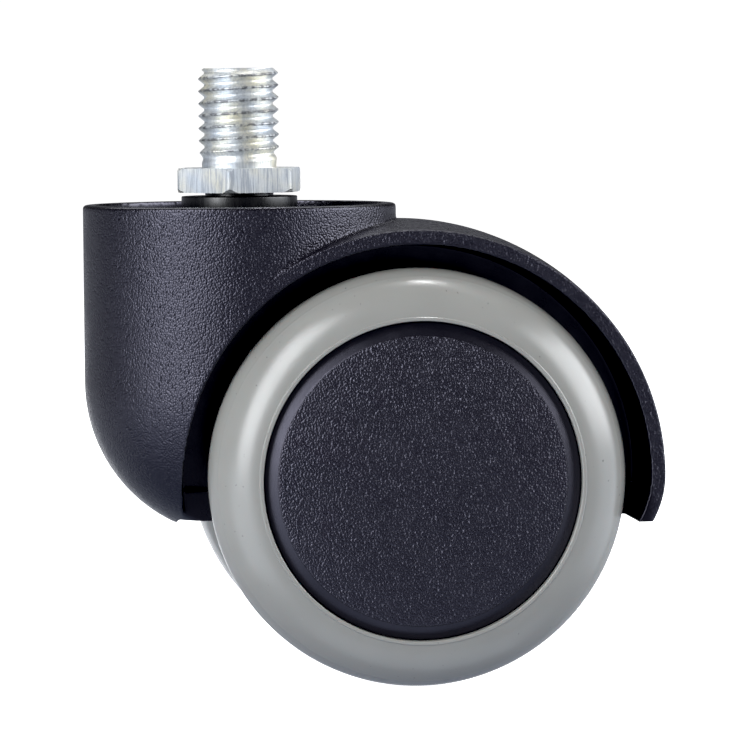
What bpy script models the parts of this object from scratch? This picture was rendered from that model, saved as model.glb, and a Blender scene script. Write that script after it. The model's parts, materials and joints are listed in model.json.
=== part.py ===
"""Hooded twin-wheel chair caster with an M10 threaded stem, at real size in metres, +Z up.

The origin is where the stem's axis meets the top of its hexagon, the shoulder that seats under the
chair's base. The housing swivels about Z. The wheels trail towards +X, and turn on an axle along Y.
Left is the -Y side. Radii are about the piece's own axis unless a comment says otherwise.
"""

import math

import bmesh
import bpy
from mathutils import Matrix, Vector

MM = 0.001

# Driving dimensions
WHEEL_RADIUS = 25.0 * MM
TRAIL = 19.7 * MM  # from the stem's axis to the wheels' axis
MOUNTING_HEIGHT = 61.8 * MM  # from the floor to the stem's shoulder
CUP_RADIUS = 19.04 * MM
WALL = 1.75 * MM
THREAD_LENGTH = 12.1 * MM
GAP = 0.3 * MM  # kept between pieces that touch on the real caster
RUNNING_GAP = 0.15 * MM  # kept between a shaft and the sleeve it turns in
AXLE_Z = WHEEL_RADIUS - MOUNTING_HEIGHT

# Housing
RIM_Z = -4.4 * MM
CHIN_CENTRE_Z = -26.0 * MM  # the chin is a dome of the cup's radius about this height
CHIN_TIP_Z = -43.0 * MM
CHIN_FLOOR_Z = -37.5 * MM
FOOT_Z = -42.4 * MM
ARCH_RADIUS = WHEEL_RADIUS + 2.8 * MM
HOOD_HALF = CUP_RADIUS - 0.09 * MM  # the hood's sides run into the cup's wall
HOOD_START_X = 1.0 * MM  # inside the cup
HOOD_CROWN = 0.85 * MM  # how far the hood's middle stands above its two edges
HOOD_SWEEP = 1.0 * MM  # how far the hood's end turns in towards the wheels
WEB_HALF = 7.2 * MM
BOSS_HALF = 7.8 * MM  # half-width over the axle boss, and over the bead along the web's foot
BEAD_TOP_Z = -38.7 * MM
WEB_SKIN = 1.8 * MM
WEB_RIB_X = 34.0 * MM
KEEL_HALF = 0.8 * MM
AXLE_BOSS_RADIUS = 6.0 * MM
SOCKET_BOSS_RADIUS = 7.0 * MM
SOCKET_BOSS_TOP_Z = -4.95 * MM
SOCKET_RADIUS = 5.5 * MM
SOCKET_FLOOR_Z = -32.6 * MM
RIB_HALF = 0.7 * MM
RIB_TOP_Z = -8.0 * MM
RIB_COUNT = 6

# Stem
THREAD_PITCH = 1.5 * MM
THREAD_CREST = 4.9 * MM
THREAD_ROOT = 4.08 * MM
THREAD_NECK = 4.5 * MM  # plain stretch between the last thread and the hexagon
THREAD_NECK_TOP_Z = 0.9 * MM
HEX_FLATS = 14.0 * MM
HEX_THICKNESS = 2.95 * MM
HEX_TURN = math.radians(-12.8)  # how far one corner is turned from -Y, about +Z
HEX_BEVEL = 0.3 * MM  # how far the corners are turned back at both faces
HEX_BEVEL_HEIGHT = 0.45 * MM
PIN_RADIUS = 3.5 * MM
PIN_END_Z = -31.2 * MM
PIN_DOME = 1.6 * MM  # height of the pin's rounded end
GROOVE_RADIUS = 2.7 * MM
GROOVE_TOP_Z = -26.4 * MM
GROOVE_BOTTOM_Z = -27.3 * MM

# Stem bush, snap ring and thrust pad
COLLAR_RADIUS = 7.05 * MM
COLLAR_TOP_Z = -3.43 * MM
NECK_RADIUS = 4.16 * MM
NECK_TOP_Z = -3.15 * MM
BUSH_END_Z = -26.1 * MM
SNAP_RING_OUTER = 4.4 * MM
SNAP_RING_THICKNESS = 0.5 * MM
SNAP_RING_OPENING = math.radians(60)
PAD_TOP_Z = PIN_END_Z - GAP

# Wheel, from the middle of the caster outwards along the axle
AXLE_RADIUS = 3.0 * MM
AXLE_HALF = 21.7 * MM
TREAD_INNER_Y = 9.0 * MM
TREAD_CROWN_Y = 16.2 * MM
TREAD_OUTER_Y = 22.5 * MM
TREAD_BORE = 19.5 * MM
TREAD_LIP = 18.95 * MM
LIP_THICKNESS = 0.6 * MM
HUB_RADIUS = 6.5 * MM
HUB_BORE = 4.5 * MM
HUB_INNER_Y = 8.9 * MM
HUB_OUTER_Y = 19.4 * MM
DISC_INNER_Y = 14.2 * MM
DISC_OUTER_Y = 16.0 * MM
RIM_BORE = 17.2 * MM
RIM_INNER_Y = TREAD_INNER_Y + LIP_THICKNESS + GAP
RIM_OUTER_Y = TREAD_OUTER_Y - LIP_THICKNESS - GAP
SPOKE_COUNT = 6
SPOKE_HALF = 0.7 * MM
CAP_RADIUS = TREAD_LIP - GAP
CAP_FACE_RADIUS = 17.15 * MM
CAP_FACE_Y = 23.6 * MM
CAP_EDGE_Y = 22.5 * MM
CAP_THICKNESS = 1.3 * MM
CAP_SKIRT = 1.0 * MM
CAP_SKIRT_END_Y = 18.0 * MM
WASHER_THICKNESS = 0.5 * MM
INNER_WASHER_RADIUS = 5.4 * MM
OUTER_WASHER_RADIUS = 6.2 * MM
CLIP_RADIUS = 6.0 * MM
CLIP_DISH = 0.4 * MM

# Segments round a full turn
FINE = 48
MEDIUM = 36
COARSE = 24
THREAD_COLUMNS = 16
ARCH_STEPS = 40
HOOD_STEPS = 28

AXLE_PLACE = Vector((TRAIL, 0, AXLE_Z))


def clear_scene():
    for obj in list(bpy.data.objects):
        bpy.data.objects.remove(obj, do_unlink=True)


def new_material(name, colour, roughness, metallic=0.0):
    material = bpy.data.materials.new(name)
    material.use_nodes = True
    shader = material.node_tree.nodes["Principled BSDF"]
    shader.inputs["Base Color"].default_value = (*colour, 1)
    shader.inputs["Roughness"].default_value = roughness
    shader.inputs["Metallic"].default_value = metallic
    material.diffuse_color = (*colour, 1)
    return material


def new_object(name, bm, material=None, parent=None):
    """A closed body from a bmesh, with its faces turned outwards and its round faces smooth."""
    bmesh.ops.remove_doubles(bm, verts=bm.verts, dist=1e-7)
    bmesh.ops.recalc_face_normals(bm, faces=bm.faces)
    mesh = bpy.data.meshes.new(name)
    bm.to_mesh(mesh)
    bm.free()
    obj = bpy.data.objects.new(name, mesh)
    bpy.context.scene.collection.objects.link(obj)
    obj.parent = parent
    if material:
        mesh.materials.append(material)
    shade(mesh)
    return obj


def shade(mesh):
    mesh.shade_smooth()
    mesh.set_sharp_from_angle(angle=math.radians(28))


def new_empty(name, place, parent=None):
    empty = bpy.data.objects.new(name, None)
    empty.empty_display_size = 5 * MM
    empty.location = place
    empty.parent = parent
    bpy.context.scene.collection.objects.link(empty)
    return empty


def arc(centre, radius, start_deg, end_deg, steps):
    """Points of an arc in a turned profile, as (radius, height) pairs."""
    points = []
    for step in range(steps + 1):
        angle = math.radians(start_deg + (end_deg - start_deg) * step / steps)
        points.append((centre[0] + radius * math.cos(angle), centre[1] + radius * math.sin(angle)))
    return points


def turned(profile, segments, along="Z", closed=False):
    """A bmesh turned about Z or Y from (radius, height) pairs.

    An open profile starts and ends on the axis. A closed one goes round a ring's section.
    """
    bm = bmesh.new()
    rings = []
    for radius, height in profile:
        on_axis = radius < 1e-9
        ring = []
        for step in range(1 if on_axis else segments):
            angle = 2 * math.pi * step / segments
            flat = (radius * math.cos(angle), radius * math.sin(angle))
            place = (flat[0], flat[1], height) if along == "Z" else (flat[0], height, flat[1])
            ring.append(bm.verts.new(place))
        rings.append(ring)
    pairs = list(zip(rings, rings[1:]))
    if closed:
        pairs.append((rings[-1], rings[0]))
    for ring, other in pairs:
        for step in range(segments):
            after = step + 1
            corners = [ring[step % len(ring)], ring[after % len(ring)]]
            add_face(bm, corners + [other[after % len(other)], other[step % len(other)]])
    return bm


def add_face(bm, corners):
    """Adds a face, leaving out a corner that comes twice."""
    corners = list(dict.fromkeys(corners))
    if len(corners) > 2:
        bm.faces.new(corners)


def tube(inner, outer, low, high):
    """The closed profile of a plain ring."""
    return [(inner, low), (outer, low), (outer, high), (inner, high)]


def box(low, high):
    bm = bmesh.new()
    bmesh.ops.create_cube(bm, size=1)
    low, high = Vector(low), Vector(high)
    for vert in bm.verts:
        vert.co = Vector(((vert.co[i] + 0.5) * (high[i] - low[i]) + low[i] for i in range(3)))
    return bm


def extruded(outline, low_y, high_y):
    """A bmesh from an (x, z) outline, extruded along Y."""
    bm = bmesh.new()
    face = bm.faces.new([bm.verts.new((x, low_y, z)) for x, z in outline])
    grown = bmesh.ops.extrude_face_region(bm, geom=[face])["geom"]
    verts = [item for item in grown if isinstance(item, bmesh.types.BMVert)]
    bmesh.ops.translate(bm, verts=verts, vec=(0, high_y - low_y, 0))
    return bm


def boolean(target, tool, operation):
    """Cuts a tool object from the target, joins it on or keeps what they share, and removes it."""
    modifier = target.modifiers.new(operation.lower(), "BOOLEAN")
    modifier.operation = operation
    modifier.solver = "EXACT"
    modifier.object = tool
    bpy.context.view_layer.update()
    evaluated = target.evaluated_get(bpy.context.evaluated_depsgraph_get())
    mesh = bpy.data.meshes.new_from_object(evaluated)
    target.modifiers.clear()
    target.data = mesh
    bpy.data.objects.remove(tool, do_unlink=True)
    shade(mesh)


def cut(target, tool_bm):
    boolean(target, new_object("tool", tool_bm, None, target.parent), "DIFFERENCE")


def join(target, tool_bm):
    boolean(target, new_object("tool", tool_bm, None, target.parent), "UNION")


def keep(target, tool_bm):
    boolean(target, new_object("tool", tool_bm, None, target.parent), "INTERSECT")


def paint(obj, material):
    obj.data.materials.clear()
    obj.data.materials.append(material)


def about_axle(bm):
    """Moves a bmesh from the origin to the wheels' axis."""
    bmesh.ops.translate(bm, verts=bm.verts, vec=AXLE_PLACE)
    return bm


def turn(bm, angle, axis="Z"):
    """Turns a bmesh about an axis through the origin."""
    bmesh.ops.rotate(bm, verts=bm.verts, cent=(0, 0, 0), matrix=Matrix.Rotation(angle, 3, axis))
    return bm


def rod(radius, low, high):
    """The open profile of a plain rod."""
    return [(0, low), (radius, low), (radius, high), (0, high)]


# Housing


def sweep_at(x, z):
    """How far a point of the hood's end is moved in towards the wheels."""
    below = (AXLE_Z - z) / (AXLE_Z - FOOT_Z)
    return HOOD_SWEEP * below * below if x > TRAIL and below > 0 else 0


def swept_arc(radius, start, end, steps):
    """(x, z) points of an arc about the wheels' axis, with the hood's end turned in."""
    points = []
    for step in range(steps + 1):
        angle = start + (end - start) * step / steps
        x = TRAIL + radius * math.cos(angle)
        z = AXLE_Z + radius * math.sin(angle)
        points.append((x - sweep_at(x, z), z))
    return points


def foot_angle(radius):
    return math.asin((FOOT_Z - AXLE_Z) / radius)


def hood_block():
    """The hood's solid from inside the cup to its end, crowned across its width."""
    slices = 6
    bm = bmesh.new()
    loops = []
    for step in range(slices + 1):
        across = 2 * step / slices - 1
        radius = ARCH_RADIUS + WALL + HOOD_CROWN * (1 - across * across)
        start = math.acos((HOOD_START_X - TRAIL) / radius)
        outline = swept_arc(radius, start, foot_angle(radius), HOOD_STEPS) + [(HOOD_START_X, FOOT_Z)]
        loops.append([bm.verts.new((x, HOOD_HALF * across, z)) for x, z in outline])
    for loop, other in zip(loops, loops[1:]):
        for i in range(len(loop)):
            j = (i + 1) % len(loop)
            bm.faces.new((loop[i], loop[j], other[j], other[i]))
    bm.faces.new(loops[0])
    bm.faces.new(loops[-1])
    return bm


def arch_space(near_y, far_y):
    """The space inside the wheel arch between two widths, open below the foot."""
    end = foot_angle(ARCH_RADIUS)
    outline = swept_arc(ARCH_RADIUS, math.pi - end, end, ARCH_STEPS)
    inset = 0.4 * MM
    floor_z = FOOT_Z - 4 * MM
    outline += [(outline[-1][0] - inset, floor_z), (outline[0][0] + inset, floor_z)]
    return extruded(outline, min(near_y, far_y), max(near_y, far_y))


def below(top_z):
    """A large block under a height, for trimming."""
    return box((-60 * MM, -60 * MM, -90 * MM), (90 * MM, 60 * MM, top_z))


def axle_boss(half_width):
    return about_axle(turned(rod(AXLE_BOSS_RADIUS, -half_width, half_width), MEDIUM, "Y"))


def wheel_space(side):
    """The space for one wheel: beside the web, but clear of its axle boss and the bead at its foot."""
    space = new_object("wheel_space", arch_space(side * WEB_HALF, side * 2 * CUP_RADIUS))
    cut(space, box((-60 * MM, -BOSS_HALF, -90 * MM), (90 * MM, BOSS_HALF, BEAD_TOP_Z)))
    cut(space, axle_boss(BOSS_HALF))
    return space


def web_cell(side):
    """The hollow between the keel and one skin of the web, open below, behind the stem's boss."""
    cell = new_object("cell", arch_space(side * KEEL_HALF, side * (WEB_HALF - WEB_SKIN)))
    cut(cell, box((-60 * MM, -60 * MM, -90 * MM), (3 * MM, 60 * MM, 10 * MM)))
    cut(cell, turned(rod(SOCKET_BOSS_RADIUS, -80 * MM, 10 * MM), MEDIUM))
    cut(cell, axle_boss(BOSS_HALF))
    rib_x = (WEB_RIB_X - RIB_HALF, WEB_RIB_X + RIB_HALF)
    cut(cell, box((rib_x[0], -60 * MM, -90 * MM), (rib_x[1], 60 * MM, 10 * MM)))
    return cell


def cup_profile(radius, top_z):
    """The cup's open profile, with the domed chin below."""
    dome = arc((0, CHIN_CENTRE_Z), radius, 0, -90, 10)
    return [(0, top_z), (radius, top_z)] + dome[:-1] + [(0, CHIN_CENTRE_Z - radius)]


def cup_hollow():
    """The space inside the cup: round the stem's boss, over the wheel arch and between the ribs."""
    hollow = new_object("hollow", turned(cup_profile(CUP_RADIUS - WALL, 2 * MM), FINE))
    cut(hollow, below(CHIN_FLOOR_Z))
    cut(hollow, about_axle(turned(rod(ARCH_RADIUS + WALL, -40 * MM, 40 * MM), FINE, "Y")))
    cut(hollow, turned(rod(SOCKET_BOSS_RADIUS, -80 * MM, SOCKET_BOSS_TOP_Z), MEDIUM))
    for number in range(RIB_COUNT):
        rib = box((SOCKET_BOSS_RADIUS / 2, -RIB_HALF, -80 * MM), (CUP_RADIUS, RIB_HALF, RIB_TOP_Z))
        cut(hollow, turn(rib, 2 * math.pi * (number + 0.5) / RIB_COUNT))
    return hollow


def build_housing(material, parent):
    housing = new_object("housing", turned(cup_profile(CUP_RADIUS, RIM_Z), FINE), None, parent)
    join(housing, hood_block())
    cut(housing, below(CHIN_TIP_Z))
    cut(housing, box((TRAIL - ARCH_RADIUS, -60 * MM, -90 * MM), (90 * MM, 60 * MM, FOOT_Z)))
    for side in (-1, 1):
        boolean(housing, wheel_space(side), "DIFFERENCE")
        boolean(housing, web_cell(side), "DIFFERENCE")
    boolean(housing, cup_hollow(), "DIFFERENCE")
    cut(housing, turned(rod(SOCKET_RADIUS, SOCKET_FLOOR_Z, 5 * MM), MEDIUM))
    cut(housing, about_axle(turned(rod(AXLE_RADIUS + GAP, -30 * MM, 30 * MM), COARSE, "Y")))
    paint(housing, material)


# Stem and what holds it


def thread_place(height, radius):
    """(radius, height) of a thread's point, after its run-out, its lead-in and its two ends."""
    if height <= THREAD_NECK_TOP_Z:
        return THREAD_NECK, THREAD_NECK_TOP_Z
    if height >= THREAD_LENGTH:
        return THREAD_ROOT, THREAD_LENGTH
    cut_in = min(1, (height - THREAD_NECK_TOP_Z) / THREAD_PITCH)
    reach = THREAD_NECK + (radius - THREAD_NECK) * cut_in
    return min(reach, THREAD_ROOT + THREAD_LENGTH - height), height


def threaded_rod(low):
    """A right-handed thread as one closed body, with a plain neck down to a height."""
    bands = [(0.0, THREAD_CREST), (0.125, THREAD_CREST), (0.5, THREAD_ROOT), (0.625, THREAD_ROOT)]
    turns = math.ceil((THREAD_LENGTH - THREAD_NECK_TOP_Z) / THREAD_PITCH) + 2
    columns = THREAD_COLUMNS
    bm = bmesh.new()

    def ring_point(radius, height, column):
        angle = 2 * math.pi * column / columns
        return bm.verts.new((radius * math.cos(angle), radius * math.sin(angle), height))

    levels = []
    for level in range(turns * len(bands)):
        share, radius = bands[level % len(bands)]
        whole = level // len(bands) - 1
        heights = [whole + share + column / columns for column in range(columns)]
        places = [thread_place(THREAD_NECK_TOP_Z + THREAD_PITCH * h, radius) for h in heights]
        levels.append([ring_point(*place, column) for column, place in enumerate(places)])
    base = [ring_point(THREAD_NECK, low, column) for column in range(columns)]

    def after(level, column):
        """The next point round: a turn's last column meets the first of the turn above."""
        if column + 1 < columns:
            return levels[level][column + 1]
        return levels[min(level + len(bands), len(levels) - 1)][0]

    for level in range(len(levels) - 1):
        for column in range(columns):
            corners = [levels[level][column], after(level, column)]
            add_face(bm, corners + [after(level + 1, column), levels[level + 1][column]])
    for column in range(columns):
        corners = [base[column], base[(column + 1) % columns]]
        add_face(bm, corners + [after(0, column), levels[0][column]])
    bm.faces.new(base)
    bm.faces.new(levels[-1])
    return bm


def hexagon():
    """The stem's hexagon, with one corner turned a little off -Y."""
    across_corners = HEX_FLATS / math.sqrt(3)
    bm = turned(rod(across_corners, -HEX_THICKNESS, 0), 6)
    return turn(bm, HEX_TURN - math.pi / 2)


def hexagon_bevel():
    """The turned shape that rounds the hexagon's corners at both faces."""
    corner = HEX_FLATS / math.sqrt(3) + 0.05 * MM
    return turned(
        [
            (0, -HEX_THICKNESS - MM),
            (corner - HEX_BEVEL, -HEX_THICKNESS - MM),
            (corner - HEX_BEVEL, -HEX_THICKNESS),
            (corner, -HEX_THICKNESS + HEX_BEVEL_HEIGHT),
            (corner, -HEX_BEVEL_HEIGHT),
            (corner - HEX_BEVEL, 0),
            (corner - HEX_BEVEL, MM),
            (0, MM),
        ],
        FINE,
    )


def pin_profile():
    return [
        (0, PIN_END_Z),
        (PIN_RADIUS * 0.5, PIN_END_Z + PIN_DOME * 0.13),
        (PIN_RADIUS * 0.85, PIN_END_Z + PIN_DOME * 0.5),
        (PIN_RADIUS, PIN_END_Z + PIN_DOME),
        (PIN_RADIUS, GROOVE_BOTTOM_Z),
        (GROOVE_RADIUS, GROOVE_BOTTOM_Z),
        (GROOVE_RADIUS, GROOVE_TOP_Z),
        (PIN_RADIUS, GROOVE_TOP_Z),
        (PIN_RADIUS, -HEX_THICKNESS / 2),
        (0, -HEX_THICKNESS / 2),
    ]


def build_stem(material, parent):
    stem = new_object("stem", hexagon(), None, parent)
    keep(stem, hexagon_bevel())
    join(stem, threaded_rod(-HEX_THICKNESS / 2))
    join(stem, turned(pin_profile(), COARSE))
    paint(stem, material)


def build_snap_ring(material, parent):
    """The split ring in the pin's groove."""
    low = (GROOVE_TOP_Z + GROOVE_BOTTOM_Z - SNAP_RING_THICKNESS) / 2
    section = tube(GROOVE_RADIUS + GAP / 2, SNAP_RING_OUTER, low, low + SNAP_RING_THICKNESS)
    steps = 28
    bm = bmesh.new()
    loops = []
    for step in range(steps + 1):
        angle = SNAP_RING_OPENING / 2 + (2 * math.pi - SNAP_RING_OPENING) * step / steps
        across, along = math.cos(angle), math.sin(angle)
        loops.append([bm.verts.new((r * across, r * along, height)) for r, height in section])
    for loop, other in zip(loops, loops[1:]):
        for i in range(4):
            j = (i + 1) % 4
            bm.faces.new((loop[i], loop[j], other[j], other[i]))
    bm.faces.new(loops[0])
    bm.faces.new(loops[-1])
    new_object("stem_snap_ring", bm, material, parent)


def build_stem_bush(material, parent):
    bore = PIN_RADIUS + RUNNING_GAP
    outer = SOCKET_RADIUS - GAP
    collar_low = SOCKET_BOSS_TOP_Z + GAP
    section = [
        (bore, BUSH_END_Z),
        (outer, BUSH_END_Z),
        (outer, collar_low),
        (COLLAR_RADIUS, collar_low),
        (COLLAR_RADIUS, COLLAR_TOP_Z),
        (NECK_RADIUS, COLLAR_TOP_Z),
        (NECK_RADIUS, NECK_TOP_Z),
        (bore, NECK_TOP_Z),
    ]
    new_object("stem_bush", turned(section, MEDIUM, closed=True), material, parent)


def build_thrust_pad(material, parent):
    pad = rod(SOCKET_RADIUS - GAP, SOCKET_FLOOR_Z + GAP, PAD_TOP_Z)
    new_object("thrust_pad", turned(pad, COARSE), material, parent)


# Axle and wheels. Each profile's heights run outwards along the axle on the given side.


def outwards(profile, side):
    return [(radius, side * height) for radius, height in profile]


def build_ring(name, inner, outer, low, side, material, parent):
    """A plain washer that starts at a distance along the axle."""
    section = outwards(tube(inner, outer, low, low + WASHER_THICKNESS), side)
    new_object(name, turned(section, COARSE, "Y", closed=True), material, parent)


def build_axle(material, parent):
    chamfer = 0.4 * MM
    profile = [
        (0, -AXLE_HALF),
        (AXLE_RADIUS - chamfer, -AXLE_HALF),
        (AXLE_RADIUS, -AXLE_HALF + chamfer),
        (AXLE_RADIUS, AXLE_HALF - chamfer),
        (AXLE_RADIUS - chamfer, AXLE_HALF),
        (0, AXLE_HALF),
    ]
    new_object("axle", turned(profile, COARSE, "Y"), material, parent)


def build_clip(name, side, material, parent):
    """The push-on clip, dished outwards round the axle."""
    low = HUB_OUTER_Y + 2 * GAP + WASHER_THICKNESS
    inner = AXLE_RADIUS + RUNNING_GAP
    bend = (inner + CLIP_RADIUS) / 2
    section = [
        (inner, low + CLIP_DISH),
        (bend, low),
        (CLIP_RADIUS, low),
        (CLIP_RADIUS, low + WASHER_THICKNESS),
        (bend, low + WASHER_THICKNESS),
        (inner, low + WASHER_THICKNESS + CLIP_DISH),
    ]
    new_object(name, turned(outwards(section, side), COARSE, "Y", closed=True), material, parent)


def build_core(name, side, material, parent):
    section = [
        (HUB_BORE, HUB_INNER_Y),
        (HUB_RADIUS, HUB_INNER_Y),
        (HUB_RADIUS, DISC_INNER_Y),
        (RIM_BORE, DISC_INNER_Y),
        (RIM_BORE, RIM_INNER_Y),
        (TREAD_BORE - GAP, RIM_INNER_Y),
        (TREAD_BORE - GAP, RIM_OUTER_Y),
        (RIM_BORE, RIM_OUTER_Y),
        (RIM_BORE, DISC_OUTER_Y),
        (HUB_RADIUS, DISC_OUTER_Y),
        (HUB_RADIUS, HUB_OUTER_Y),
        (HUB_BORE, HUB_OUTER_Y),
    ]
    core = new_object(name, turned(outwards(section, side), MEDIUM, "Y", closed=True), None, parent)
    embed = 0.5 * MM
    reach = sorted((side * (RIM_INNER_Y + embed), side * (DISC_INNER_Y + embed)))
    for number in range(SPOKE_COUNT):
        spoke = box((HUB_RADIUS - embed, reach[0], -SPOKE_HALF), (RIM_BORE + embed, reach[1], SPOKE_HALF))
        join(core, turn(spoke, 2 * math.pi * (number + 0.5) / SPOKE_COUNT, "Y"))
    paint(core, material)


def build_tread(name, side, material, parent):
    """The tyre: a crowned tread, a convex outer side and a lip over each end of the wheel's rim."""
    shoulder = TREAD_OUTER_Y - TREAD_CROWN_Y
    crown_drop = 1.4 * MM
    side_low = TREAD_LIP + LIP_THICKNESS
    side_high = WHEEL_RADIUS - crown_drop
    section = [
        (TREAD_BORE, TREAD_INNER_Y + LIP_THICKNESS),
        (TREAD_LIP, TREAD_INNER_Y + LIP_THICKNESS),
        (TREAD_LIP, TREAD_INNER_Y),
        (WHEEL_RADIUS - 2 * crown_drop, TREAD_INNER_Y),
        (WHEEL_RADIUS - crown_drop / 2, TREAD_INNER_Y + shoulder * 0.35),
        (WHEEL_RADIUS - crown_drop / 10, TREAD_INNER_Y + shoulder * 0.75),
        (WHEEL_RADIUS, TREAD_CROWN_Y),
        (WHEEL_RADIUS - crown_drop / 4, TREAD_CROWN_Y + shoulder * 0.4),
        (side_high, TREAD_CROWN_Y + shoulder * 0.75),
        ((2 * side_high + side_low) / 3, TREAD_CROWN_Y + shoulder * 1.0),
        ((side_high + 2 * side_low) / 3, TREAD_OUTER_Y + 0.35 * MM),
        (side_low, TREAD_OUTER_Y + 0.25 * MM),
        (TREAD_LIP, TREAD_OUTER_Y),
        (TREAD_LIP, TREAD_OUTER_Y - LIP_THICKNESS),
        (TREAD_BORE, TREAD_OUTER_Y - LIP_THICKNESS),
    ]
    new_object(name, turned(outwards(section, side), FINE, "Y", closed=True), material, parent)


def build_cap(name, side, material, parent):
    """The hub cap: a raised face, a bevelled edge and a skirt that snaps inside the wheel's rim."""
    back_y = RIM_OUTER_Y + GAP
    skirt = RIM_BORE - GAP
    profile = [
        (0, CAP_FACE_Y),
        (CAP_FACE_RADIUS, CAP_FACE_Y),
        (CAP_FACE_RADIUS + 0.7 * MM, CAP_EDGE_Y + 0.5 * MM),
        (CAP_RADIUS, CAP_EDGE_Y),
        (CAP_RADIUS, back_y),
        (skirt, back_y),
        (skirt, CAP_SKIRT_END_Y),
        (skirt - CAP_SKIRT, CAP_SKIRT_END_Y),
        (skirt - CAP_SKIRT, CAP_FACE_Y - CAP_THICKNESS),
        (0, CAP_FACE_Y - CAP_THICKNESS),
    ]
    new_object(name, turned(outwards(profile, side), FINE, "Y"), material, parent)


def build_sleeve(name, side, material, parent):
    """The bearing sleeve inside the hub."""
    inner, outer = AXLE_RADIUS + RUNNING_GAP, HUB_BORE - GAP
    section = tube(inner, outer, HUB_INNER_Y + GAP, HUB_OUTER_Y - GAP)
    section = outwards(section, side)
    new_object(name, turned(section, COARSE, "Y", closed=True), material, parent)


def build_wheel(label, side, steel, nylon, tyre, cap, fixed, parent):
    """One wheel and the washers and clip beside it, which stay on the axle."""
    build_core(f"wheel_core_{label}", side, nylon, parent)
    build_tread(f"tread_{label}", side, tyre, parent)
    build_cap(f"hub_cap_{label}", side, cap, parent)
    build_sleeve(f"hub_sleeve_{label}", side, steel, parent)
    bore = AXLE_RADIUS + RUNNING_GAP
    inner_y = BOSS_HALF + GAP
    build_ring(f"inner_washer_{label}", bore, INNER_WASHER_RADIUS, inner_y, side, steel, fixed)
    outer_y = HUB_OUTER_Y + GAP
    build_ring(f"outer_washer_{label}", bore, OUTER_WASHER_RADIUS, outer_y, side, steel, fixed)
    build_clip(f"axle_clip_{label}", side, steel, fixed)


def main():
    clear_scene()
    housing_nylon = new_material("housing_nylon", (0.032, 0.030, 0.040), 0.5)
    wheel_nylon = new_material("wheel_nylon", (0.014, 0.014, 0.016), 0.45)
    cap_nylon = new_material("cap_nylon", (0.034, 0.033, 0.043), 0.5)
    bush_nylon = new_material("bush_nylon", (0.010, 0.010, 0.011), 0.4)
    polyurethane = new_material("polyurethane", (0.33, 0.34, 0.33), 0.3)
    zinc = new_material("zinc_plate", (0.78, 0.79, 0.80), 0.28, 1.0)
    steel = new_material("bright_steel", (0.62, 0.62, 0.63), 0.35, 1.0)

    stem_axis = new_empty("stem_axis", (0, 0, 0))
    swivel_axis = new_empty("swivel_axis", (0, 0, 0), stem_axis)
    axle_place = new_empty("axle_place", AXLE_PLACE, swivel_axis)

    build_stem(zinc, stem_axis)
    build_snap_ring(steel, stem_axis)
    build_housing(housing_nylon, swivel_axis)
    build_stem_bush(bush_nylon, swivel_axis)
    build_thrust_pad(steel, swivel_axis)
    build_axle(steel, axle_place)
    for label, side in (("left", -1), ("right", 1)):
        wheel_axis = new_empty(f"wheel_axis_{label}", (0, 0, 0), axle_place)
        build_wheel(label, side, steel, wheel_nylon, polyurethane, cap_nylon, axle_place, wheel_axis)


main()
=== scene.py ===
import json
import math

import bmesh
import bpy
from mathutils import Matrix, Vector


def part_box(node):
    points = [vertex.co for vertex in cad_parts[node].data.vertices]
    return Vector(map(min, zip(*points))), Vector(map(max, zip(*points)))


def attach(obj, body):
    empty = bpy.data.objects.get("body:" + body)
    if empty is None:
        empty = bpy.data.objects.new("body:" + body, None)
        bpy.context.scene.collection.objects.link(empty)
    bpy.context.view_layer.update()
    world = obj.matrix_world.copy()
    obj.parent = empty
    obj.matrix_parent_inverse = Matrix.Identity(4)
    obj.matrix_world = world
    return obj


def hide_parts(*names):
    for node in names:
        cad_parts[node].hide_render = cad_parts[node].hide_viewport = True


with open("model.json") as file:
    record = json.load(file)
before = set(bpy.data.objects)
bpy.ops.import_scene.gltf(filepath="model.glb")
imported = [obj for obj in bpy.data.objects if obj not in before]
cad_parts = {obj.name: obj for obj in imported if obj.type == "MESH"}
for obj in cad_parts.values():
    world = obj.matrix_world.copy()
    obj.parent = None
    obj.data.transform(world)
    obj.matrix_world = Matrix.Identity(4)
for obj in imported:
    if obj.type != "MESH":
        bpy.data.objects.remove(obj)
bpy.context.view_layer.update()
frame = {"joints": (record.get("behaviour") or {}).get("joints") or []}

# The looks of a hooded twin-wheel chair caster. Lengths are in metres, with radii about each piece's
# own axis. Places come from the frame: the stem's axis is Z through the origin, and the wheels turn
# about a line along Y. A turned profile is a list of (radius, height, fillet radius) corners.

MM = 0.001

joints = {joint["name"]: joint for joint in frame["joints"]}
AXLE = Vector(joints["roll_left"]["pos_m"])
housing_low, housing_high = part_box("housing")
tread_low, tread_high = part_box("tread_right")
core_low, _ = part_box("wheel_core_right")
cap_low, cap_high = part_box("hub_cap_right")
stem_low, stem_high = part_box("stem")
bush_low, bush_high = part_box("stem_bush")
axle_low, axle_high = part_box("axle")

WHEEL_RADIUS = (tread_high.z - tread_low.z) / 2
FLOOR_Z = tread_low.z

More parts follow.
